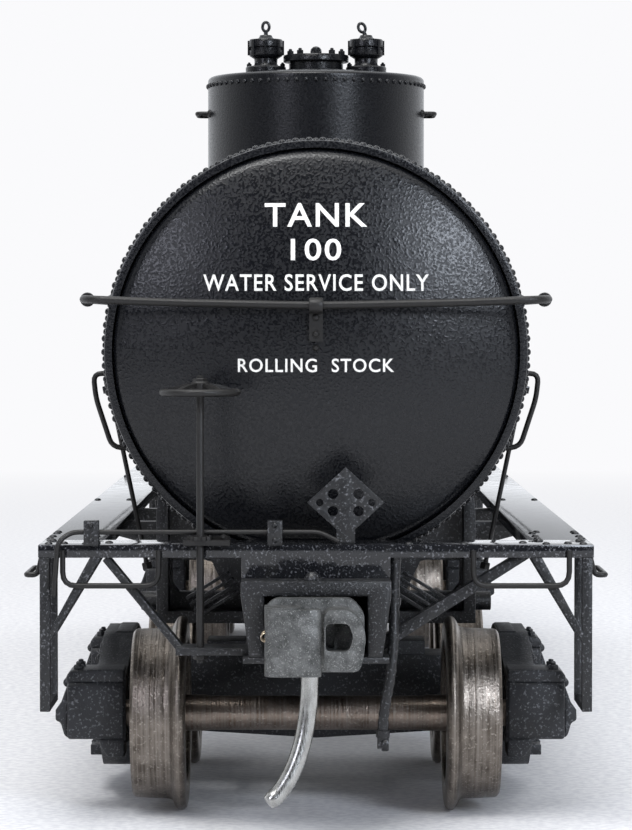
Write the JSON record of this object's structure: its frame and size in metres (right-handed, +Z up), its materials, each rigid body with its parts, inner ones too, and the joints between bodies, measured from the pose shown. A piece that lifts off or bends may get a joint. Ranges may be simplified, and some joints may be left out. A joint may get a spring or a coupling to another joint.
{
  "type": "model tank wagon",
  "caption": "Scale model railway tank wagon with a domed riveted tank, running boards, swivelling trucks, rolling wheelsets and sprung knuckle couplers.",
  "frame": {"origin": "on the floor under the middle of the wagon, which stands on its wheel flanges", "axes": "+Z up, Y along the track with the hand brake end towards -Y, +X to the right of someone facing that end"},
  "size_m": [0.0316, 0.1324, 0.0491],
  "materials": {
    "satin_black_paint": "moulded polystyrene under satin black paint with a fine grit",
    "painted_wire": "formed steel wire under thin dark paint",
    "black_styrene": "moulded black polystyrene, semi-matte",
    "black_acetal": "moulded black acetal, semi-matte",
    "blackened_wheel_metal": "turned metal, chemically browned, with fine turning lines",
    "blackened_axle_steel": "turned steel, browned",
    "cast_zinc": "rough grey die casting",
    "polished_steel": "drawn steel, lightly polished",
    "ballast_steel": "mill finish steel bar",
    "screw_steel": "machine screws, bright steel",
    "spring_bronze": "thin phosphor bronze sheet"
  },
  "bodies": {
    "wagon": {"tank_shell": "satin_black_paint", "tank_head_front": "satin_black_paint", "tank_head_rear": "satin_black_paint", "ballast_weight": "ballast_steel", "dome": "satin_black_paint", "dome_top": "satin_black_paint", "manway_cover": "satin_black_paint", "safety_valves": "satin_black_paint", "dome_grab_irons": "painted_wire", "handrail": "painted_wire", "handrail_posts": "painted_wire", "tank_bands": "satin_black_paint", "band_rods": "painted_wire", "tank_grab_irons": "painted_wire", "centre_sill": "black_styrene", "bolster_front": "black_styrene", "bolster_rear": "black_styrene", "walkway_left": "black_styrene", "walkway_right": "black_styrene", "end_platform_front": "black_styrene", "end_platform_rear": "black_styrene", "cross_bearers": "black_styrene", "corner_steps": "black_styrene", "side_grab_irons": "painted_wire", "end_grab_irons": "painted_wire", "end_braces": "black_styrene", "uncoupling_levers": "painted_wire", "lever_brackets": "black_styrene", "brake_wheel": "painted_wire", "brake_staff": "painted_wire", "placard_boards": "black_styrene", "coupler_boxes": "black_styrene", "coupler_box_lids": "black_styrene", "centring_springs": "spring_bronze", "chassis_screws": "screw_steel", "air_hoses": "black_styrene", "brake_cylinder": "black_styrene", "air_reservoir": "black_styrene", "triple_valve": "black_styrene", "outlet_valve": "black_styrene"},
    "front_truck": {"truck_bolster_front": "black_acetal", "sideframes_front": "black_acetal", "brake_beams_front": "black_acetal"},
    "rear_truck": {"truck_bolster_rear": "black_acetal", "sideframes_rear": "black_acetal", "brake_beams_rear": "black_acetal"},
    "wheelset_1": {"wheels_1": "blackened_wheel_metal", "axle_1": "blackened_axle_steel"},
    "wheelset_2": {"wheels_2": "blackened_wheel_metal", "axle_2": "blackened_axle_steel"},
    "wheelset_3": {"wheels_3": "blackened_wheel_metal", "axle_3": "blackened_axle_steel"},
    "wheelset_4": {"wheels_4": "blackened_wheel_metal", "axle_4": "blackened_axle_steel"},
    "front_coupler": {"coupler_front": "cast_zinc", "trip_pin_front": "polished_steel"},
    "rear_coupler": {"coupler_rear": "cast_zinc", "trip_pin_rear": "polished_steel"},
    "front_knuckle": {"knuckle_front": "cast_zinc"},
    "rear_knuckle": {"knuckle_rear": "cast_zinc"}
  },
  "joints": [
    {"name": "front_truck_swivel", "type": "hinge", "parent": "wagon", "child": "front_truck", "pos_m": [0, -0.0416, 0.0096], "axis": [0, 0, 1], "range_deg": [-12, 12]},
    {"name": "rear_truck_swivel", "type": "hinge", "parent": "wagon", "child": "rear_truck", "pos_m": [0, 0.0416, 0.0096], "axis": [0, 0, 1], "range_deg": [-12, 12]},
    {"name": "wheelset_1_spin", "type": "hinge", "parent": "front_truck", "child": "wheelset_1", "pos_m": [0, -0.0512, 0.00545], "axis": [1, 0, 0], "continuous": true},
    {"name": "wheelset_2_spin", "type": "hinge", "parent": "front_truck", "child": "wheelset_2", "pos_m": [0, -0.032, 0.00545], "axis": [1, 0, 0], "continuous": true},
    {"name": "wheelset_3_spin", "type": "hinge", "parent": "rear_truck", "child": "wheelset_3", "pos_m": [0, 0.032, 0.00545], "axis": [1, 0, 0], "continuous": true},
    {"name": "wheelset_4_spin", "type": "hinge", "parent": "rear_truck", "child": "wheelset_4", "pos_m": [0, 0.0512, 0.00545], "axis": [1, 0, 0], "continuous": true},
    {"name": "front_coupler_swing", "type": "hinge", "parent": "wagon", "child": "front_coupler", "pos_m": [0, -0.0565, 0.01095], "axis": [0, 0, 1], "range_deg": [-10, 10], "stiffness_Nm_per_rad": 0.0002},
    {"name": "rear_coupler_swing", "type": "hinge", "parent": "wagon", "child": "rear_coupler", "pos_m": [0, 0.0565, 0.01095], "axis": [0, 0, 1], "range_deg": [-10, 10], "stiffness_Nm_per_rad": 0.0002},
    {"name": "front_knuckle_opening", "type": "hinge", "parent": "front_coupler", "child": "front_knuckle", "pos_m": [-0.00175, -0.06445, 0.01095], "axis": [0, 0, -1], "range_deg": [0, 25], "stiffness_Nm_per_rad": 0.000005},
    {"name": "rear_knuckle_opening", "type": "hinge", "parent": "rear_coupler", "child": "rear_knuckle", "pos_m": [0.00175, 0.06445, 0.01095], "axis": [0, 0, -1], "range_deg": [0, 25], "stiffness_Nm_per_rad": 0.000005}
  ]
}
